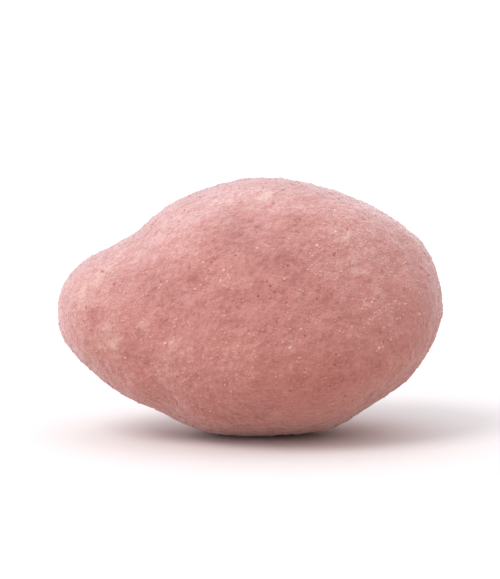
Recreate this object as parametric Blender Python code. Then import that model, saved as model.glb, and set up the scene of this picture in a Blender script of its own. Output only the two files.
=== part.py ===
"""A strawberry white chocolate almond: one nut, panned in white chocolate and dusted with
strawberry powder, lying on its belly.

Run it with blender --background --python part.py, or from Blender's text editor. Lengths are
in metres. +Z is up, +X runs along the nut from its pointed tip to its blunt end, and the origin
is on the surface it rests on, under the middle of the piece.

The coat is thick enough to turn the flat, pointed nut into a fat egg with a rounded knob over
the tip. The form is worked out as a field: four rounded masses that melt into one another,
softly flattened where neighbours pressed on it in the pan, with low lumps and hollows where the
chocolate built up unevenly. A ball of square faces is then drawn out to the field's surface,
and stretched by the hair that the hollows and flats took off it, back to its driving sizes.
"""

import math

import bmesh
import bpy
from mathutils import Vector, noise

MM = 0.001

# Driving sizes
LENGTH = 31.3 * MM
HEIGHT = 21.1 * MM
WIDTH = 20.4 * MM

# The egg: the wide part of the nut under its coat. It would reach a little under the floor,
# which is what presses the small flat that the almond rests on.
EGG_SINK = 0.5 * MM
EGG_LENGTH = 27.2 * MM
EGG_HEIGHT = HEIGHT + EGG_SINK
EGG_CENTRE = Vector((LENGTH / 2 - EGG_LENGTH / 2, 0, EGG_HEIGHT / 2 - EGG_SINK))
EGG_HALVES = Vector((EGG_LENGTH / 2, WIDTH / 2, EGG_HEIGHT / 2))

# The flat nut's shoulders, which narrow towards its pointed tip, the knob of coat over that
# tip, and the fuller chin below it. All of them melt into the egg.
SHOULDER_HALVES = Vector((7.0, 7.0, 4.4)) * MM
SHOULDER_CENTRE = Vector((-6.8, 0.3, 9.8)) * MM
KNOB_HALVES = Vector((4.5, 4.9, 4.5)) * MM
KNOB_CENTRE = Vector((KNOB_HALVES.x - LENGTH / 2, -0.3 * MM, 10.3 * MM))
CHIN_HALVES = Vector((4.4, 4.9, 4.2)) * MM
CHIN_CENTRE = Vector((-8.0, 0.0, 7.4)) * MM
MELT = 2.6 * MM

# Where neighbours pressed the coat while it was soft: the way the flat faces, how deep it goes
# into the egg, and how softly it runs out
PRESSED = (
    (Vector((0.60, -0.12, -0.79)), 0.50 * MM, 3.4 * MM),
    (Vector((0.34, 0.40, 0.85)), 0.35 * MM, 2.5 * MM),
    (Vector((-0.30, 0.93, 0.20)), 0.50 * MM, 2.5 * MM),
    (Vector((0.45, -0.86, 0.23)), 0.30 * MM, 2.5 * MM),
)

# Lumps, and hollows where the height is negative: the way they face from the egg's centre,
# their spread and their height
LUMPS = (
    (Vector((-0.15, -0.55, 0.82)), 2.6 * MM, -0.28 * MM),
    (Vector((0.20, -0.72, 0.66)), 2.2 * MM, -0.22 * MM),
    (Vector((-0.45, -0.60, 0.66)), 2.8 * MM, 0.25 * MM),
    (Vector((0.55, -0.40, 0.73)), 2.8 * MM, 0.20 * MM),
    (Vector((-0.20, -0.95, -0.22)), 3.4 * MM, 0.22 * MM),
    (Vector((0.30, 0.75, -0.58)), 3.0 * MM, 0.28 * MM),
    (Vector((0.10, 0.62, 0.78)), 2.4 * MM, -0.26 * MM),
    (Vector((0.90, 0.35, 0.25)), 2.6 * MM, 0.20 * MM),
    (Vector((-0.50, -0.05, -0.86)), 4.0 * MM, 0.32 * MM),
    (Vector((0.42, -0.05, -0.90)), 3.6 * MM, 0.26 * MM),
)

# The even unevenness of a panned coat: the width of its waves and their height
WAVES = ((7.0 * MM, 0.16 * MM), (3.2 * MM, 0.07 * MM))

# How softly the coat turns up round the flat that it rests on. Four corners carry the almond, so
# that it stands still: the flat's furthest points along this way and its mirror images. The rest
# of the flat's edge is a hair clear of the floor.
FOOT_EDGE = 0.1 * MM
FOOT_CORNER_WAY = (1.0, 1.3)
FOOT_CLEAR = 0.03 * MM

# Faces along each edge of the cube that is blown up into the ball, how often the way to the
# surface is halved, and how near the floor a point counts as lying on it
FACES_PER_EDGE = 26
HALVINGS = 26
ON_THE_FLOOR = 0.001 * MM

# The colour and finish of dry strawberry powder over white chocolate
COAT_COLOUR = (0.560, 0.235, 0.212, 1.0)
COAT_ROUGHNESS = 0.92


def clear_scene():
    """Removes whatever the file holds."""
    for old in list(bpy.data.objects):
        bpy.data.objects.remove(old)


def outside_ellipsoid(point, centre, halves):
    """Roughly how far a point lies outside an ellipsoid; negative inside it."""
    offset = point - centre
    once = Vector(o / h for o, h in zip(offset, halves))
    twice = Vector(o / h for o, h in zip(once, halves))
    return once.length * (once.length - 1) / twice.length


def melted(first, second, reach):
    """Two masses joined, with a fillet that reaches that far where they meet."""
    shared = max(reach - abs(first - second), 0) / reach
    return min(first, second) - shared * shared * reach / 4


def pressed(mass, face, reach):
    """A mass cut back by a face, with the edge rounded over that reach."""
    return -melted(-mass, -face, reach)


def egg_reach(direction):
    """How far the egg's surface lies from its centre along a direction."""
    return 1 / Vector(d / h for d, h in zip(direction, EGG_HALVES)).length


def egg_support(direction):
    """How far the egg reaches, measured square to a face that touches it."""
    return Vector(d * h for d, h in zip(direction, EGG_HALVES)).length


def lump_height(point):
    """How much thicker the coat is here, by its lumps, hollows and waves."""
    height = 0.0
    for facing, spread, rise in LUMPS:
        facing = facing.normalized()
        top = EGG_CENTRE + facing * egg_reach(facing)
        height += rise * math.exp(-(((point - top).length / spread) ** 2))
    for wave, rise in WAVES:
        height += rise * noise.noise(point / wave)
    return height


def outside_almond(point):
    """How far a point lies outside the coated almond; negative inside it."""
    egg = outside_ellipsoid(point, EGG_CENTRE, EGG_HALVES)
    for facing, depth, reach in PRESSED:
        facing = facing.normalized()
        face = (point - EGG_CENTRE).dot(facing) - egg_support(facing) + depth
        egg = pressed(egg, face, reach)
    shoulders = outside_ellipsoid(point, SHOULDER_CENTRE, SHOULDER_HALVES)
    knob = outside_ellipsoid(point, KNOB_CENTRE, KNOB_HALVES)
    chin = outside_ellipsoid(point, CHIN_CENTRE, CHIN_HALVES)
    tip = melted(knob, chin, MELT)
    body = melted(egg, shoulders, MELT)
    coat = melted(body, tip, MELT) - lump_height(point)
    return pressed(coat, -point.z, FOOT_EDGE)


def surface_point(direction, heart):
    """The point where a ray from the heart of the almond leaves it, by halving."""
    inside, outside = 0.0, LENGTH
    for _ in range(HALVINGS):
        middle = (inside + outside) / 2
        if outside_almond(heart + direction * middle) < 0:
            inside = middle
        else:
            outside = middle
    point = heart + direction * inside
    if point.z < ON_THE_FLOOR:
        point.z = 0.0
    return point


def ball_of_squares(faces_per_edge):
    """A unit ball made from a cube, with its faces spread evenly."""
    ball = bmesh.new()
    bmesh.ops.create_cube(ball, size=2)
    bmesh.ops.subdivide_edges(
        ball, edges=ball.edges[:], cuts=faces_per_edge - 1, use_grid_fill=True
    )
    for vert in ball.verts:
        vert.co = Vector(math.tan(c * math.pi / 4) for c in vert.co).normalized()
    return ball


def fit_to_size(form):
    """Stretches the form to its driving sizes, standing on the floor over the origin."""
    for axis, size in enumerate((LENGTH, WIDTH, HEIGHT)):
        low = min(v.co[axis] for v in form.verts)
        high = max(v.co[axis] for v in form.verts)
        start = 0.0 if axis == 2 else -size / 2
        for vert in form.verts:
            vert.co[axis] = start + (vert.co[axis] - low) * size / (high - low)


def beyond(point, start, end):
    """Whether a point lies on the line from start to end or to its right, seen from above."""
    return (end - start).cross(point - start).z <= 0


def stand_on_corners(form):
    """Leaves four corners of the flat to carry the almond, and lifts the rest of its edge."""
    on_floor = [v for v in form.verts if v.co.z == 0]
    corners = []
    for side_x, side_y in ((1, 1), (-1, 1), (-1, -1), (1, -1)):
        way = Vector((side_x * FOOT_CORNER_WAY[0], side_y * FOOT_CORNER_WAY[1], 0))
        corners.append(max(on_floor, key=lambda v: v.co.dot(way)))
    sides = [(a.co.copy(), b.co.copy()) for a, b in zip(corners, corners[1:] + corners[:1])]
    for vert in form.verts:
        if vert.co.z < FOOT_CLEAR and vert not in corners:
            if any(beyond(vert.co, start, end) for start, end in sides):
                vert.co.z = FOOT_CLEAR


def coat_material():
    """Matt, powdered strawberry pink."""
    material = bpy.data.materials.new("strawberry_powder_coat")
    material.use_nodes = True
    shader = material.node_tree.nodes["Principled BSDF"]
    shader.inputs["Base Color"].default_value = COAT_COLOUR
    shader.inputs["Roughness"].default_value = COAT_ROUGHNESS
    shader.inputs["Metallic"].default_value = 0.0
    return material


def add_almond():
    """The almond, centred over the origin on its flat foot."""
    heart = EGG_CENTRE.copy()
    heart.x = 0.0
    form = ball_of_squares(FACES_PER_EDGE)
    for vert in form.verts:
        vert.co = surface_point(vert.co.normalized(), heart)
    fit_to_size(form)
    stand_on_corners(form)
    bmesh.ops.recalc_face_normals(form, faces=form.faces[:])
    mesh = bpy.data.meshes.new("coated_almond")
    form.to_mesh(mesh)
    form.free()
    mesh.shade_smooth()
    mesh.materials.append(coat_material())
    almond = bpy.data.objects.new("coated_almond", mesh)
    bpy.context.scene.collection.objects.link(almond)
    return almond


clear_scene()
add_almond()
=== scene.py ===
# %% [markdown]
# # A strawberry white chocolate almond, seen close up
#
# The real sweet is an almond that was tumbled in melted white chocolate until the coat hid the
# nut, and then rolled in dried strawberry powder. What the eye reads as powdered chocolate is a
# set of small things: a fat, slightly uneven egg, a skin like orange peel, loose grains that catch
# the light, dusky patches where the powder lies thick, a soft pale bloom where the surface turns
# away, and some painted highlight and painted shade in the coat's colour. This lesson makes them
# one at a time.
#
# The measured solid is loaded first. It is the frame that everything else has to fit, and its
# box is kept.

# %% Load the measured solid
import math

import bpy
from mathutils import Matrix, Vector
from mathutils.kdtree import KDTree


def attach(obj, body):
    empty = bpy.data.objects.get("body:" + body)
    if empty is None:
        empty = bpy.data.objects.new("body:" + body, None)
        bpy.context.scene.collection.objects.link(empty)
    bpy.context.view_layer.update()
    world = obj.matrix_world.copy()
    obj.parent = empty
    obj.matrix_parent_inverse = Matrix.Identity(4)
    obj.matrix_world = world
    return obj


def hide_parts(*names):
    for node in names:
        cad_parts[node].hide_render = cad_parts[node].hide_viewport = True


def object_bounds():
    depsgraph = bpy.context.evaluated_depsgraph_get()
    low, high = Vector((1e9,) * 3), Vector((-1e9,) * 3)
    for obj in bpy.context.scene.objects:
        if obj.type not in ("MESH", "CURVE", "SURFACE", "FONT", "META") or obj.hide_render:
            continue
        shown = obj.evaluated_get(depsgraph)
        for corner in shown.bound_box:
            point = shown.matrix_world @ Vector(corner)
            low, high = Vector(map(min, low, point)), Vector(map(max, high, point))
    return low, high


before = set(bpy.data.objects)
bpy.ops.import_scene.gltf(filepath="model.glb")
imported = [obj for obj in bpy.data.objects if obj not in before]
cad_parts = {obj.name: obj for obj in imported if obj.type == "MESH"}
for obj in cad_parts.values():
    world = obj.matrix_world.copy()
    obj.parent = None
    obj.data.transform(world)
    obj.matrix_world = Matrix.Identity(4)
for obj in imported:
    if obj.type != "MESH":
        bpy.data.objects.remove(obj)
cad_low, cad_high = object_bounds()

MM = 0.001
ALMOND = "coated_almond"
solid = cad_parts[ALMOND]
size = cad_high - cad_low
middle = (cad_low + cad_high) / 2
print(f"the solid is {size.x / MM:.1f} x {size.y / MM:.1f} x {size.z / MM:.1f} mm")

# %% [markdown]
# ## Two habits worth having
#
# An operator works on whatever is selected, and an imported model arrives selected. So each step
# starts from object mode with nothing selected. A modifier that is left live can surprise a later
# step, so each one here is applied as soon as it is set, as a potter fires one layer of glaze
# before the next.

# %% Helpers for starting clean and for applying a modifier
def start_clean():
    """Object mode, with nothing selected."""
    if bpy.context.object and bpy.context.object.mode != "OBJECT":
        bpy.ops.object.mode_set(mode="OBJECT")
    bpy.ops.object.select_all(action="DESELECT")


def work_on(piece):
    """Makes one piece the selected and active one."""
    start_clean()
    piece.select_set(True)
    bpy.context.view_layer.objects.active = piece


def apply(piece, modifier):
    """Applies one modifier for good."""
    work_on(piece)
    bpy.ops.object.modifier_apply(modifier=modifier.name)


# %% [markdown]
# ## The camera
#
# The sweet was photographed with a long lens from only a little above the table, so its far and
# near ends look the same size. A 600 mm lens most of a metre away gives that flat, calm view. The
# camera is made this early because some marks on the coat are placed by where they are seen.

# %% Set the camera at the photograph's angle
CAMERA_RISE = math.radians(10)
LENS_MM = 600
SENSOR_MM = 36
PICTURE_WIDTH, PICTURE_HEIGHT = 500, 579
ALMOND_SHARE = 0.77
ALMOND_BELOW_MIDDLE = 0.03

view_height = size.x / ALMOND_SHARE * PICTURE_HEIGHT / PICTURE_WIDTH
camera_distance = view_height * LENS_MM / SENSOR_MM
looking = Vector((0, math.cos(CAMERA_RISE), -math.sin(CAMERA_RISE)))
across = Vector((1, 0, 0))
upward = across.cross(looking)

target = middle + upward * view_height * ALMOND_BELOW_MIDDLE
start_clean()
bpy.ops.object.camera_add(
    location=target - looking * camera_distance,
    rotation=looking.to_track_quat("-Z", "Y").to_euler(),
)
camera = bpy.context.object
camera.name = "product_camera"
camera.data.lens = LENS_MM
camera.data.sensor_width = SENSOR_MM
bpy.context.scene.camera = camera
print(f"the camera stands {camera_distance:.2f} m away and sees {view_height / MM:.0f} mm high")


# %% Find the spot on the coat that is seen at a given place
def seen_spot(across_mm, up_mm, way=looking):
    """The point seen along a way, that far across and up from the middle, and how it faces."""
    start = middle + across * across_mm * MM + upward * up_mm * MM - way * size.x
    hit, point, facing, _ = solid.ray_cast(start, way)
    if not hit:
        raise ValueError(f"nothing is seen at {across_mm}, {up_mm}")
    return point, facing


# %% [markdown]
# ## The coat, as a ball of even squares
#
# A UV sphere has poles, where long thin faces meet and any bump turns into a star. A cube that is
# cut into squares and blown up into a ball has none. The squares near the cube's edges would come
# out small, so the cuts are first spread with a tangent, which evens them out. The ball stands
# round the middle of the solid, clear of it on every side.

# %% Blow a cube up into a ball
BALL = size.x
SQUARES = 32

start_clean()
bpy.ops.mesh.primitive_cube_add(size=2 * BALL, location=(0, 0, 0))
coat = bpy.context.object
coat.name = "strawberry_coat"
bpy.ops.object.mode_set(mode="EDIT")
bpy.ops.mesh.select_all(action="SELECT")
bpy.ops.mesh.subdivide(number_cuts=SQUARES - 1)
bpy.ops.object.mode_set(mode="OBJECT")
for vertex in coat.data.vertices:
    vertex.co = [BALL * math.tan(c / BALL * math.pi / 4) for c in vertex.co]
bpy.ops.object.mode_set(mode="EDIT")
bpy.ops.transform.tosphere(value=1)
bpy.ops.transform.translate(value=middle)
bpy.ops.object.mode_set(mode="OBJECT")
print(f"the ball has {len(coat.data.polygons)} squares")

# %% [markdown]
# ## Shrink the ball onto the almond
#
# Each corner of the ball slides inwards along its own normal until it meets the solid, which a
# Shrinkwrap in Project mode does in one go. The solid rests on a small flat. A real belly is
# round there too and touches the table in one spot, with a thin dark gap all round it. So every
# low corner is lifted at least as high as a very flat bowl that stands on the table. Where the
# bowl runs out into the sides, the two are melted together, and no crease is left.
#
# The solid is made of small flat triangles, and two levels of Subdivision Surface smooth them
# away. They also give squares fine enough for clumps less than half a millimetre wide. This is the
# whole budget of faces, just under two hundred thousand triangles, and it goes on this one piece
# because this one piece is what is seen.

# %% Wrap the coat, round its belly and smooth it
BELLY_BEND_ALONG = 32 * MM
BELLY_BEND_ACROSS = 8.6 * MM
BELLY_MELT = 0.4
FLAT_HEIGHT = 0.002 * MM

wrap = coat.modifiers.new("wrap", "SHRINKWRAP")
wrap.target = solid
wrap.wrap_method = "PROJECT"
wrap.use_positive_direction = False
wrap.use_negative_direction = True
apply(coat, wrap)

flat = [vertex.co for vertex in solid.data.vertices if vertex.co.z < FLAT_HEIGHT]
foot = sum(flat, Vector()) / len(flat)


def belly_bowl(point):
    """How high the bowl under the belly stands at a point."""
    along, sideways = point.x - foot.x, point.y - foot.y
    return along**2 / (2 * BELLY_BEND_ALONG) + sideways**2 / (2 * BELLY_BEND_ACROSS)


for vertex in coat.data.vertices:
    if vertex.co.z < middle.z / 2:
        bowl = belly_bowl(vertex.co)
        reach = BELLY_MELT * bowl + FLAT_HEIGHT
        shared = max(reach - abs(vertex.co.z - bowl), 0)
        vertex.co.z = max(vertex.co.z, bowl) + shared**2 / (4 * reach)

smooth = coat.modifiers.new("smooth", "SUBSURF")
smooth.levels = smooth.render_levels = 2
apply(coat, smooth)
bpy.ops.object.shade_smooth()
print(f"the coat has {2 * len(coat.data.polygons)} triangles")

# %% Make an index of the corners by place
corners = KDTree(len(coat.data.vertices))
for vertex in coat.data.vertices:
    corners.insert(vertex.co, vertex.index)
corners.balance()

# %% [markdown]
# ## Dimples that can be seen in their places
#
# A few shallow dimples catch the eye on the near side, and the belly is fuller there than an egg's.
# They could come from noise, but noise never puts them in the right place. So each is pushed one by
# one: the nearest corner is moved with proportional editing on, which drags its surroundings
# along in a soft bowl. Each line gives the place, the width and the depth, all in millimetres, and
# a depth below nought is a swelling. The underside of the blunt end gets one swelling. The far
# side, which the camera never sees, gets its own few, since the sweet will be turned round. The
# form as it is then is kept, to measure the skin by.

# %% Push the dimples in
NEAR_DIMPLES = (
    (-0.6, 6.2, 4.2, 0.15),
    (4.2, 6.6, 3.2, 0.13),
    (2.5, 3.2, 3.6, 0.13),
    (-6.2, 1.0, 4.6, 0.12),
    (5.7, -0.5, 3.4, 0.09),
    (-12.6, -0.8, 1.5, 0.12),
    (-8.4, 5.3, 3.6, 0.10),
    (-2.4, -4.6, 4.4, 0.09),
    (9.4, 2.2, 3.2, -0.09),
    (-4.6, 5.4, 3.0, -0.10),
    (0.6, -1.2, 3.4, -0.07),
    (0.4, -5.2, 10.0, -0.28),
    (-5.6, -4.4, 6.0, -0.12),
)
FAR_DIMPLES = (
    (0.5, -4.5, 9.0, -0.12),
    (-5.0, 3.0, 4.0, 0.14),
    (2.0, 5.5, 3.4, 0.12),
    (7.5, -1.0, 4.2, 0.12),
    (0.0, -3.0, 3.6, -0.10),
    (-9.0, -1.5, 3.0, 0.12),
    (10.5, 4.0, 2.6, -0.08),
)
END_DIMPLES = ((0.0, 0.0, 11.0, -0.32),)
FROM_BEHIND = Vector((0, -1, 0))
INTO_THE_END = Vector((-0.87, 0, 0.5))


def push(piece, place, way, width, depth):
    """Moves the corner nearest a place along a way, with a soft bowl of that width round it."""
    nearest = corners.find(place)[1]
    bpy.ops.object.mode_set(mode="EDIT")
    bpy.ops.mesh.select_all(action="DESELECT")
    bpy.ops.object.mode_set(mode="OBJECT")
    piece.data.vertices[nearest].select = True
    bpy.ops.object.mode_set(mode="EDIT")
    bpy.ops.transform.translate(
        value=way * depth,
        use_proportional_edit=True,
        proportional_edit_falloff="SMOOTH",
        proportional_size=width / 2,
    )
    bpy.ops.object.mode_set(mode="OBJECT")


work_on(coat)
for dimples, way in (
    (NEAR_DIMPLES, looking),
    (FAR_DIMPLES, FROM_BEHIND),
    (END_DIMPLES, INTO_THE_END),
):
    for across_mm, up_mm, width_mm, depth_mm in dimples:
        place, facing = seen_spot(across_mm, up_mm, way)
        push(coat, place, -facing, width_mm * MM, depth_mm * MM)
    print(f"{len(dimples)} dimples and swellings pushed")
smooth_form = [vertex.co.copy() for vertex in coat.data.vertices]
smooth_facing = [vertex.normal.copy() for vertex in coat.data.vertices]

# %% [markdown]
# ## Skin like orange peel
#
# Panned chocolate dries in soft waves, and the powder sticks to it in clumps. That is three sizes
# of the same thing, so three Displace modifiers are stacked, each with a cloud texture of its own
# size. They read local coordinates, which here are real metres, so the sizes are real too. A
# fourth one makes scattered pits, from a cell texture of which only the middles are kept.

# %% Raise the waves, the peel and the clumps
RELIEF = (
    ("pan_waves", 2.9 * MM, 0.20 * MM),
    ("orange_peel", 1.1 * MM, 0.17 * MM),
    ("powder_clumps", 0.40 * MM, 0.15 * MM),
)

for name, width, height in RELIEF:
    cloud = bpy.data.textures.new(name, "CLOUDS")
    cloud.noise_scale = width
    cloud.noise_depth = 1
    raise_it = coat.modifiers.new(name, "DISPLACE")
    raise_it.texture = cloud
    raise_it.texture_coords = "LOCAL"
    raise_it.strength = height
    raise_it.mid_level = 0.5
    apply(coat, raise_it)
    print(f"{name}: waves {width / MM:.2f} mm wide, {height / MM:.3f} mm high")

# %% Prick the pits
PIT_SPACING = 1.9 * MM
PIT_DEPTH = 0.09 * MM
PIT_MOUTH = 0.16

cells = bpy.data.textures.new("pits", "VORONOI")
cells.noise_scale = PIT_SPACING
cells.use_color_ramp = True
ramp = cells.color_ramp
ramp.elements[0].position = 0.0
ramp.elements[0].color = (0, 0, 0, 1)
ramp.elements[1].position = PIT_MOUTH
ramp.elements[1].color = (1, 1, 1, 1)
pits = coat.modifiers.new("pits", "DISPLACE")
pits.texture = cells
pits.texture_coords = "LOCAL"
pits.strength = PIT_DEPTH
pits.mid_level = 1.0
apply(coat, pits)

# %% [markdown]
# ## A memory of the relief, of where the coat was rubbed, and of painted highlight and shade
#
# The relief must not sink through the table, so every low corner is kept at least half as high as
# the bowl under the belly. Then each corner notes two numbers that the materials can read.
# "relief" is how far it stands above or below the smooth form: powder gathers in hollows and rubs
# off high spots. The second note is painted round a list of places. Above nought it makes the coat
# paler where it is rubbed, and it is painted highlight along the top edge and the knob's left
# side, where the light falls. Below nought it makes the coat darker where the powder lies thick,
# in the dimples, and as painted shade on the lower right side and the belly above the foot. Each
# line of that list gives the place and the width in millimetres, and the strength.

# %% Rest the coat on the table and note its relief
RELIEF_REACH = 0.18 * MM
LOWEST_OVER_BOWL = 0.5

for vertex in coat.data.vertices:
    if vertex.co.z < middle.z / 2:
        vertex.co.z = max(vertex.co.z, LOWEST_OVER_BOWL * belly_bowl(vertex.co))

relief = coat.data.attributes.new("relief", "FLOAT", "POINT")
for index, vertex in enumerate(coat.data.vertices):
    rise = (vertex.co - smooth_form[index]).dot(smooth_facing[index])
    relief.data[index].value = max(-1, min(1, rise / RELIEF_REACH))
heights = [entry.value for entry in relief.data]
print(f"relief runs from {min(heights):.2f} to {max(heights):.2f}")

# %% Paint the rubbed and the dusky places, with painted highlight and painted shade
NEAR_RUBS_AND_PAINTED_LIGHT = (
    # Pale places: rubbed coat, with painted highlight along the lit top edge and the knob's left
    # side
    (-10.4, 4.0, 1.9, 0.7),
    (-12.4, 2.4, 1.6, 0.6),
    (-7.2, 6.2, 1.4, 0.6),
    (-5.4, 7.0, 1.4, 0.4),
    (-5.0, 4.9, 1.1, 0.6),
    (-2.6, 8.5, 1.7, 0.8),
    (0.8, 8.9, 1.7, 0.9),
    (4.2, 8.4, 1.8, 0.5),
    (7.2, 6.6, 1.8, 0.5),
    (9.0, 5.4, 2.6, 0.6),
    (-2.6, 2.0, 1.3, 0.4),
    (-13.8, 0.4, 2.0, 0.7),
    (-11.6, -2.8, 2.2, 0.95),
    (-8.6, -1.1, 0.6, 0.9),
    (-6.3, -2.9, 0.6, 0.9),
    (8.6, 2.4, 2.2, 0.4),
    # Darker places, most of them in the pushed dimples
    (-0.6, 6.0, 1.8, -1.2),
    (3.9, 6.8, 1.3, -1.1),
    (2.6, 3.3, 1.6, -1.1),
    (-6.0, 0.7, 2.6, -0.9),
    (-0.9, 0.6, 2.2, -0.7),
    (5.7, -0.5, 2.0, -0.6),
    (-12.8, -0.8, 0.6, -1.2),
    (-8.4, 5.5, 1.0, -0.5),
    # Painted shade: the lower right side and the belly above the foot are darkened
    (7.0, -4.8, 2.6, -0.8),
    (1.0, -6.4, 2.6, -0.2),
    (-3.2, -8.2, 1.8, -0.5),
    (1.4, -8.6, 2.0, -0.6),
    (5.2, -7.4, 1.8, -0.5),
)
FAR_PATCHES = (
    (-9.5, 4.5, 2.2, 0.9),
    (-1.0, 8.0, 2.0, 0.8),
    (6.0, 5.0, 2.4, 0.6),
    (-3.0, -1.0, 1.6, 0.4),
    (10.5, -1.5, 1.8, 0.5),
    (-5.0, 3.0, 2.2, -0.8),
    (2.5, 2.0, 2.0, -0.7),
    (7.0, -3.5, 2.4, -0.6),
    (-9.0, -2.0, 1.6, -0.6),
)
PATCH_REACH = 2.2

rub_and_painted_light = coat.data.attributes.new("rub_and_painted_light", "FLOAT", "POINT")
for patches, way in ((NEAR_RUBS_AND_PAINTED_LIGHT, looking), (FAR_PATCHES, FROM_BEHIND)):
    for across_mm, up_mm, width_mm, strength in patches:
        place, _ = seen_spot(across_mm, up_mm, way)
        for _, index, far in corners.find_range(place, PATCH_REACH * width_mm * MM):
            rub_and_painted_light.data[index].value += strength * math.exp(-((far / (width_mm * MM)) ** 2))
    print(f"{len(patches)} patches painted")

# %% [markdown]
# ## Fine grain, once for every material
#
# The coat, the loose grains and the flecks are all dusted with the same powder, so its fine grain
# is built once, as a shader node group, and placed in each material with values of its own. It
# gives a colour that wanders between a dusky, a middle and a pale tone, in patches from several
# millimetres down to a fifth of one, a roughness that wanders with it, and a height for a Bump
# node. A group is like a rubber stamp: cut once, inked differently each time.

# %% Helpers for building shader nodes
NOISE_ROUGHNESS = 0.55
MIX_SHARE, MIX_COLOUR_A, MIX_COLOUR_B, MIX_COLOUR_OUT = 0, 6, 7, 2


def add_node(tree, kind, **values):
    """Adds a node and sets its inputs by name."""
    node = tree.nodes.new(kind)
    for name, value in values.items():
        node.inputs[name.replace("_", " ")].default_value = value
    return node


def feed(tree, socket, value):
    """Links a socket to a node's output, or sets it to a plain value."""
    if isinstance(value, bpy.types.NodeSocket):
        tree.links.new(value, socket)
    else:
        socket.default_value = value


def noise(tree, place, width, detail=2.0):
    """A noise texture whose patches are that wide, in metres."""
    node = add_node(
        tree, "ShaderNodeTexNoise", Scale=1 / width, Detail=detail, Roughness=NOISE_ROUGHNESS
    )
    tree.links.new(place, node.inputs["Vector"])
    return node.outputs["Fac"]


def ramped(tree, value, start, end, low=0.0, high=1.0):
    """A value that climbs smoothly from low to high as the input goes from start to end."""
    node = tree.nodes.new("ShaderNodeMapRange")
    node.interpolation_type = "SMOOTHSTEP"
    for name, given_value in zip(
        ("Value", "From Min", "From Max", "To Min", "To Max"), (value, start, end, low, high)
    ):
        feed(tree, node.inputs[name], given_value)
    return node.outputs["Result"]


def mixed(tree, share, first, second):
    """One colour laid over another, by a share from 0 to 1."""
    node = tree.nodes.new("ShaderNodeMix")
    node.data_type = "RGBA"
    feed(tree, node.inputs[MIX_SHARE], share)
    feed(tree, node.inputs[MIX_COLOUR_A], first)
    feed(tree, node.inputs[MIX_COLOUR_B], second)
    return node.outputs[MIX_COLOUR_OUT]


def sums(tree, operation, first, second):
    """Arithmetic on two values."""
    node = tree.nodes.new("ShaderNodeMath")
    node.operation = operation
    feed(tree, node.inputs[0], first)
    feed(tree, node.inputs[1], second)
    return node.outputs[0]


def weighed(tree, *parts):
    """The sum of values, each times its own weight."""
    total = sums(tree, "MULTIPLY", *parts[0])
    for value, weight in parts[1:]:
        total = sums(tree, "ADD", total, sums(tree, "MULTIPLY", value, weight))
    return total


# %% Build the powder group
BROAD = 4.5 * MM
PATCHY = 1.5 * MM
SPOTTY = 0.5 * MM
GRAIN = 0.20 * MM
DUST = 0.09 * MM
PATCH_SHARE = 0.24
GRAIN_SHARE = 0.28
DUSKY_TO_MIDDLE = (0.34, 0.50)
MIDDLE_TO_PALE = (0.50, 0.66)
SMOOTHEST, ROUGHEST = 0.86, 0.97
ROUGHNESS_TONES = (0.3, 0.7)
GRAIN_HEIGHT = 0.6
DUST_HEIGHT = 0.4

powder = bpy.data.node_groups.new("strawberry powder", "ShaderNodeTree")
for name, kind in (
    ("Place", "NodeSocketVector"),
    ("Dusky", "NodeSocketColor"),
    ("Middle", "NodeSocketColor"),
    ("Pale", "NodeSocketColor"),
    ("Shift", "NodeSocketFloat"),
):
    powder.interface.new_socket(name, in_out="INPUT", socket_type=kind)
for name, kind in (
    ("Color", "NodeSocketColor"),
    ("Roughness", "NodeSocketFloat"),
    ("Height", "NodeSocketFloat"),
):
    powder.interface.new_socket(name, in_out="OUTPUT", socket_type=kind)

given = powder.nodes.new("NodeGroupInput")
made = powder.nodes.new("NodeGroupOutput")
place = given.outputs["Place"]
grainy = noise(powder, place, GRAIN, detail=1.0)
dusty = noise(powder, place, DUST, detail=1.0)
tone = weighed(
    powder,
    (noise(powder, place, BROAD), PATCH_SHARE),
    (noise(powder, place, PATCHY), PATCH_SHARE),
    (noise(powder, place, SPOTTY), PATCH_SHARE),
    (grainy, GRAIN_SHARE),
    (given.outputs["Shift"], 1.0),
)
middle_share = ramped(powder, tone, *DUSKY_TO_MIDDLE)
pale_share = ramped(powder, tone, *MIDDLE_TO_PALE)
darker = mixed(powder, middle_share, given.outputs["Dusky"], given.outputs["Middle"])
colour = mixed(powder, pale_share, darker, given.outputs["Pale"])
roughness = ramped(powder, tone, *ROUGHNESS_TONES, SMOOTHEST, ROUGHEST)
height = weighed(powder, (grainy, GRAIN_HEIGHT), (dusty, DUST_HEIGHT))
powder.links.new(colour, made.inputs["Color"])
powder.links.new(roughness, made.inputs["Roughness"])
powder.links.new(height, made.inputs["Height"])
print(f"the powder group has {len(powder.nodes)} nodes")

# %% [markdown]
# ## The coat's own material
#
# The coat reads its two notes: hollows, dusky places and painted shade shift the tone one way,
# high and rubbed places and painted highlight the other, and where the note is highest some cream
# shows, partly rubbed coat and partly painted highlight. A painted patch has a soft round edge that
# no powder has, so the painted note is first multiplied by a noise, which frays it.
#
# The whitish bloom at the edges is a sheen, which is what light does in any layer of fine dust. It
# is the same all over, so it is set on the shader's own sockets.

# %% Define a powdered material
DUSKY = (0.425, 0.166, 0.148, 1)
MIDDLE = (0.520, 0.228, 0.202, 1)
PALE = (0.615, 0.335, 0.312, 1)
CREAM = (0.740, 0.520, 0.430, 1)
BUMP_HEIGHT = 0.12 * MM
SHEEN = 1.0
SHEEN_ROUGHNESS = 0.5
SHEEN_TINT = (1.0, 0.95, 0.98, 1)
SPECULAR = 0.25


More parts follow.
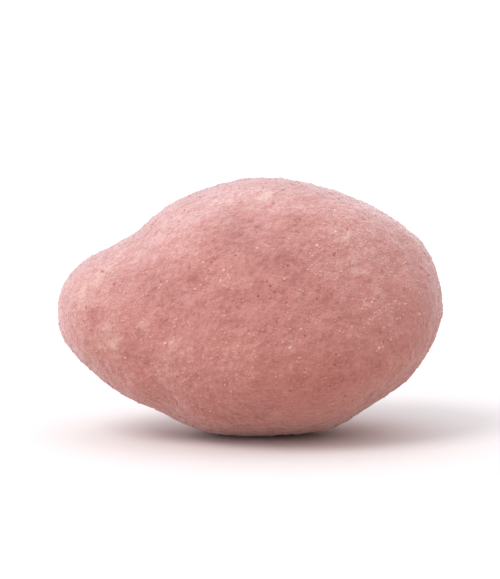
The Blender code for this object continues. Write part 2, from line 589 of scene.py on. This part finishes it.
def powdered_material(name, dusky, middle_tone, pale):
    """A matt material in three powder tones, with its node tree, shader, group and place."""
    material = bpy.data.materials.new(name)
    material.use_nodes = True
    tree = material.node_tree
    shader = tree.nodes["Principled BSDF"]
    shader.inputs["Specular IOR Level"].default_value = SPECULAR
    shader.inputs["Sheen Weight"].default_value = SHEEN
    shader.inputs["Sheen Roughness"].default_value = SHEEN_ROUGHNESS
    shader.inputs["Sheen Tint"].default_value = SHEEN_TINT
    where = tree.nodes.new("ShaderNodeTexCoord")
    stamp = tree.nodes.new("ShaderNodeGroup")
    stamp.node_tree = powder
    tree.links.new(where.outputs["Object"], stamp.inputs["Place"])
    for socket, tone_colour in (("Dusky", dusky), ("Middle", middle_tone), ("Pale", pale)):
        stamp.inputs[socket].default_value = tone_colour
    bump = add_node(tree, "ShaderNodeBump", Distance=BUMP_HEIGHT)
    tree.links.new(stamp.outputs["Height"], bump.inputs["Height"])
    tree.links.new(bump.outputs["Normal"], shader.inputs["Normal"])
    tree.links.new(stamp.outputs["Roughness"], shader.inputs["Roughness"])
    tree.links.new(stamp.outputs["Color"], shader.inputs["Base Color"])
    return material, tree, shader, stamp, where.outputs["Object"]


def noted(tree, name):
    """A number that the mesh's corners carry under that name."""
    node = tree.nodes.new("ShaderNodeAttribute")
    node.attribute_name = name
    return node.outputs["Fac"]


# %% Dress the coat in it
FRAY_WIDTH = 0.8 * MM
RELIEF_SHIFT = 0.10
RUB_AND_PAINTED_LIGHT_SHIFT = 0.22
CREAM_SHOWS = (0.25, 0.75)
MOST_CREAM = 0.7

coat_material, tree, shader, stamp, place = powdered_material(
    "strawberry_powder_coat", DUSKY, MIDDLE, PALE
)
fraying = noise(tree, place, FRAY_WIDTH, detail=4.0)
ragged = sums(tree, "MULTIPLY", noted(tree, "rub_and_painted_light"), fraying)
shift = weighed(tree, (noted(tree, "relief"), RELIEF_SHIFT), (ragged, RUB_AND_PAINTED_LIGHT_SHIFT))
tree.links.new(shift, stamp.inputs["Shift"])
# Cream where the painted note is highest: rubbed coat, and painted highlight on the lit top and
# left
cream_and_highlight_share = ramped(tree, ragged, *CREAM_SHOWS, 0.0, MOST_CREAM)
creamy = mixed(tree, cream_and_highlight_share, stamp.outputs["Color"], CREAM)
tree.links.new(creamy, shader.inputs["Base Color"])
coat.data.materials.clear()
coat.data.materials.append(coat_material)

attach(coat, "root")
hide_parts(ALMOND)

# %% [markdown]
# ## Loose powder, scattered by nodes
#
# A powder is made of grains, and seen this close they stand up from the coat and throw tiny
# shadows. Nobody places thousands of grains by hand. A Geometry Nodes group does it: it strews
# points over a copy of the coat, more where a noise is high, sets a grain on each point at a
# random size and turn, gives each a random tint to be read by its material, and makes them all
# real mesh. The copy of the coat itself is dropped by the group, so only grains are left. The same
# group serves three kinds: fine powder, dark flecks of dried fruit and pale crumbs of chocolate.

# %% Build the scattering group
CLEAR_OF_TABLE = 0.5 * MM
CLUMP_WIDTH = 1.2 * MM
CLUMP_EDGE = (0.40, 0.62)

scatter = bpy.data.node_groups.new("scatter", "GeometryNodeTree")
for name, kind in (
    ("Geometry", "NodeSocketGeometry"),
    ("Grain", "NodeSocketObject"),
    ("Density", "NodeSocketFloat"),
    ("Clumping", "NodeSocketFloat"),
    ("Smallest", "NodeSocketFloat"),
    ("Largest", "NodeSocketFloat"),
    ("Seed", "NodeSocketInt"),
):
    scatter.interface.new_socket(name, in_out="INPUT", socket_type=kind)
scatter.interface.new_socket("Geometry", in_out="OUTPUT", socket_type="NodeSocketGeometry")

given = scatter.nodes.new("NodeGroupInput")
made = scatter.nodes.new("NodeGroupOutput")
here = scatter.nodes.new("GeometryNodeInputPosition").outputs[0]
clump = noise(scatter, here, CLUMP_WIDTH)
thick = ramped(scatter, clump, *CLUMP_EDGE)
thin = sums(scatter, "SUBTRACT", 1.0, given.outputs["Clumping"])
crowding = sums(scatter, "ADD", thin, sums(scatter, "MULTIPLY", given.outputs["Clumping"], thick))
above = scatter.nodes.new("ShaderNodeSeparateXYZ")
scatter.links.new(here, above.inputs[0])
off_table = sums(scatter, "GREATER_THAN", above.outputs["Z"], CLEAR_OF_TABLE)

points = scatter.nodes.new("GeometryNodeDistributePointsOnFaces")
scatter.links.new(given.outputs["Geometry"], points.inputs["Mesh"])
scatter.links.new(given.outputs["Seed"], points.inputs["Seed"])
density = sums(scatter, "MULTIPLY", given.outputs["Density"], crowding)
scatter.links.new(sums(scatter, "MULTIPLY", density, off_table), points.inputs["Density"])

# %% Set a grain on each point, at a random size, turn and tint
TILT = 0.3
RANDOM_VECTOR_LOW, RANDOM_VECTOR_HIGH, RANDOM_VECTOR_OUT = 0, 1, 0
RANDOM_FLOAT_LOW, RANDOM_FLOAT_HIGH, RANDOM_FLOAT_OUT = 2, 3, 1

grain_size = scatter.nodes.new("FunctionNodeRandomValue")
scatter.links.new(given.outputs["Smallest"], grain_size.inputs[RANDOM_FLOAT_LOW])
scatter.links.new(given.outputs["Largest"], grain_size.inputs[RANDOM_FLOAT_HIGH])
spin = scatter.nodes.new("FunctionNodeRandomValue")
spin.data_type = "FLOAT_VECTOR"
spin.inputs[RANDOM_VECTOR_LOW].default_value = (-TILT, -TILT, -math.pi)
spin.inputs[RANDOM_VECTOR_HIGH].default_value = (TILT, TILT, math.pi)
turn = scatter.nodes.new("FunctionNodeRotateRotation")
turn.rotation_space = "LOCAL"
scatter.links.new(points.outputs["Rotation"], turn.inputs["Rotation"])
scatter.links.new(spin.outputs[RANDOM_VECTOR_OUT], turn.inputs["Rotate By"])
object_info = scatter.nodes.new("GeometryNodeObjectInfo")
scatter.links.new(given.outputs["Grain"], object_info.inputs["Object"])
grains = scatter.nodes.new("GeometryNodeInstanceOnPoints")
scatter.links.new(points.outputs["Points"], grains.inputs["Points"])
scatter.links.new(object_info.outputs["Geometry"], grains.inputs["Instance"])
scatter.links.new(turn.outputs["Rotation"], grains.inputs["Rotation"])
scatter.links.new(grain_size.outputs[RANDOM_FLOAT_OUT], grains.inputs["Scale"])
tint = scatter.nodes.new("FunctionNodeRandomValue")
store = scatter.nodes.new("GeometryNodeStoreNamedAttribute")
store.domain = "INSTANCE"
store.inputs["Name"].default_value = "tint"
scatter.links.new(grains.outputs["Instances"], store.inputs["Geometry"])
scatter.links.new(tint.outputs[RANDOM_FLOAT_OUT], store.inputs["Value"])
realize = scatter.nodes.new("GeometryNodeRealizeInstances")
scatter.links.new(store.outputs["Geometry"], realize.inputs["Geometry"])
scatter.links.new(realize.outputs["Geometry"], made.inputs["Geometry"])
print(f"the scattering group has {len(scatter.nodes)} nodes")

# %% [markdown]
# ## One knobbly grain
#
# The grain is an icosphere of twenty faces, the roundest shape for so few, with its corners pushed
# about so that it has flat sides and edges like a crumb. It is one unit across, so the size that
# the group draws is its real size, and it is squashed to half its height, so that it lies on the
# coat. A flatter one yet makes the flecks and the pale crumbs.

# %% Model a grain and a flake
KNOBBLINESS = 0.14
GRAIN_THICKNESS = 0.5
FLAKE_THICKNESS = 0.35


def knobbly(name, thickness, seed):
    """A crumb of twenty faces, one unit across and that thick."""
    start_clean()
    bpy.ops.mesh.primitive_ico_sphere_add(subdivisions=1, radius=0.5)
    crumb = bpy.context.object
    crumb.name = name
    bpy.ops.object.mode_set(mode="EDIT")
    bpy.ops.mesh.select_all(action="SELECT")
    bpy.ops.transform.vertex_random(offset=KNOBBLINESS, seed=seed)
    bpy.ops.transform.resize(value=(1, 1, thickness))
    bpy.ops.object.mode_set(mode="OBJECT")
    return crumb


grain = knobbly("grain", GRAIN_THICKNESS, seed=4)
flake = knobbly("flake", FLAKE_THICKNESS, seed=9)


# %% Strew each kind of grain over the coat
def strewn(name, crumb, per_mm2, clumping, smallest_mm, largest_mm, seed):
    """A piece of that many crumbs, strewn over a copy of the coat and made real mesh."""
    work_on(coat)
    bpy.ops.object.duplicate()
    piece = bpy.context.object
    piece.name = name
    sow = piece.modifiers.new("sow", "NODES")
    sow.node_group = scatter
    values = {
        "Grain": crumb,
        "Density": per_mm2 / MM**2,
        "Clumping": clumping,
        "Smallest": smallest_mm * MM,
        "Largest": largest_mm * MM,
        "Seed": seed,
    }
    for item in scatter.interface.items_tree:
        if item.in_out == "INPUT" and item.name in values:
            sow[item.identifier] = values[item.name]
    apply(piece, sow)
    print(f"{name}: {len(piece.data.polygons) // len(crumb.data.polygons)} crumbs")
    return piece


powder_grains = strewn(
    "powder_grains", grain, per_mm2=7.0, clumping=0.5, smallest_mm=0.10, largest_mm=0.24, seed=2
)
fruit_flecks = strewn(
    "fruit_flecks", flake, per_mm2=0.24, clumping=0.5, smallest_mm=0.09, largest_mm=0.30, seed=5
)
pale_crumbs = strewn(
    "pale_crumbs", flake, per_mm2=0.22, clumping=0.7, smallest_mm=0.12, largest_mm=0.30, seed=8
)
for crumb in (grain, flake):
    bpy.data.objects.remove(crumb)

# %% [markdown]
# ## Colours for the strewn kinds
#
# All three are dusted with the same powder, so they take the same group. Their tones differ: the
# grains sit close round the coat's own colour, the flecks are the dark red of dried strawberry,
# and the crumbs are cream dulled by pink dust. The random tint shifts each crumb as a whole, so
# that no two neighbours match. After its three tones, each kind states how far the tint may
# shift it, and how much paler than the coat it is as a whole.

# %% Give the strewn kinds their materials
COAT_TONES = (DUSKY, MIDDLE, PALE)
FRUIT_TONES = ((0.280, 0.055, 0.052, 1), (0.380, 0.095, 0.086, 1), (0.470, 0.150, 0.130, 1))
CRUMB_TONES = ((0.590, 0.270, 0.240, 1), (0.650, 0.350, 0.310, 1), (0.720, 0.460, 0.400, 1))
KINDS = (
    (powder_grains, "loose_powder", COAT_TONES, 0.24, 0.07),
    (fruit_flecks, "dried_fruit", FRUIT_TONES, 0.40, 0.0),
    (pale_crumbs, "chocolate_crumb", CRUMB_TONES, 0.40, 0.0),
)
CRUMB_RUB_AND_PAINTED_LIGHT_SHIFT = 0.2

for piece, name, tones, spread, lift in KINDS:
    material, tree, _, stamp, _ = powdered_material(name, *tones)
    drawn = sums(tree, "SUBTRACT", noted(tree, "tint"), 0.5)
    # The strewn kinds take the coat's rubbed places and its painted highlight and painted shade too
    rub_and_painted_light_read = noted(tree, "rub_and_painted_light")
    shift = weighed(tree, (drawn, spread), (rub_and_painted_light_read, CRUMB_RUB_AND_PAINTED_LIGHT_SHIFT), (lift, 1.0))
    tree.links.new(shift, stamp.inputs["Shift"])
    piece.data.materials.clear()
    piece.data.materials.append(material)
    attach(piece, "root")

# %% [markdown]
# ## The studio
#
# The real studio is a white table under one big diffuser, above and a little to the left. A sky
# that fades from a bright side to a dim one does the same: the top of the sweet glows in cool
# light, its foot stays warm and deep, and the gap under its belly stays dark, because little light
# comes in that low. A sun with a wide disc adds the one soft direction that shows the grain.
#
# Overexposed paper looks whiter in a picture than the light it throws back. So the card and the
# sky each have one colour for the camera and another for the light that they give.

# %% Lay the table
TABLE_SIZE = 6
TABLE_DROP = 0.01 * MM
TABLE_SEEN = (0.77, 0.71, 0.69, 1)
TABLE_BOUNCE = (0.67, 0.44, 0.37, 1)
CARD_ROUGHNESS = 0.9
CARD_SPECULAR = 0.1

start_clean()
bpy.ops.mesh.primitive_plane_add(size=TABLE_SIZE, location=(0, 0, -TABLE_DROP))
table = bpy.context.object
table.name = "white_table"
white = bpy.data.materials.new("white_card")
white.use_nodes = True
tree = white.node_tree
card = tree.nodes["Principled BSDF"]
card.inputs["Roughness"].default_value = CARD_ROUGHNESS
card.inputs["Specular IOR Level"].default_value = CARD_SPECULAR
path = tree.nodes.new("ShaderNodeLightPath")
paper = mixed(tree, path.outputs["Is Camera Ray"], TABLE_BOUNCE, TABLE_SEEN)
tree.links.new(paper, card.inputs["Base Color"])
table.data.materials.append(white)

# %% Set the key light
KEY_LIGHT = 1.2
KEY_WIDTH = math.radians(30)
KEY_FROM = Vector((-0.50, -0.40, 0.85))

bpy.ops.object.light_add(type="SUN", rotation=(-KEY_FROM).to_track_quat("-Z", "Y").to_euler())
key = bpy.context.object
key.name = "soft_key"
key.data.energy = KEY_LIGHT
key.data.angle = KEY_WIDTH

# %% Hang the sky
SKY_LOW = (0.54, 0.46, 0.42, 1)
SKY_HIGH = (1.44, 1.56, 1.67, 1)
SKY_SEEN = (1, 1, 1, 1)
BRIGHT_WAY = Vector((-0.36, 0.10, 0.92)).normalized()
LEAST_TOWARDS = -0.2

world = bpy.data.worlds.new("white_studio")
world.use_nodes = True
tree = world.node_tree
direction = tree.nodes.new("ShaderNodeTexCoord")
towards = tree.nodes.new("ShaderNodeVectorMath")
towards.operation = "DOT_PRODUCT"
towards.inputs[1].default_value = BRIGHT_WAY
tree.links.new(direction.outputs["Generated"], towards.inputs[0])
glow = ramped(tree, towards.outputs["Value"], LEAST_TOWARDS, 1.0)
diffuser = mixed(tree, glow, SKY_LOW, SKY_HIGH)
path = tree.nodes.new("ShaderNodeLightPath")
sky = mixed(tree, path.outputs["Is Camera Ray"], diffuser, SKY_SEEN)
tree.links.new(sky, tree.nodes["Background"].inputs["Color"])
bpy.context.scene.world = world
bpy.context.scene.view_settings.view_transform = "Standard"
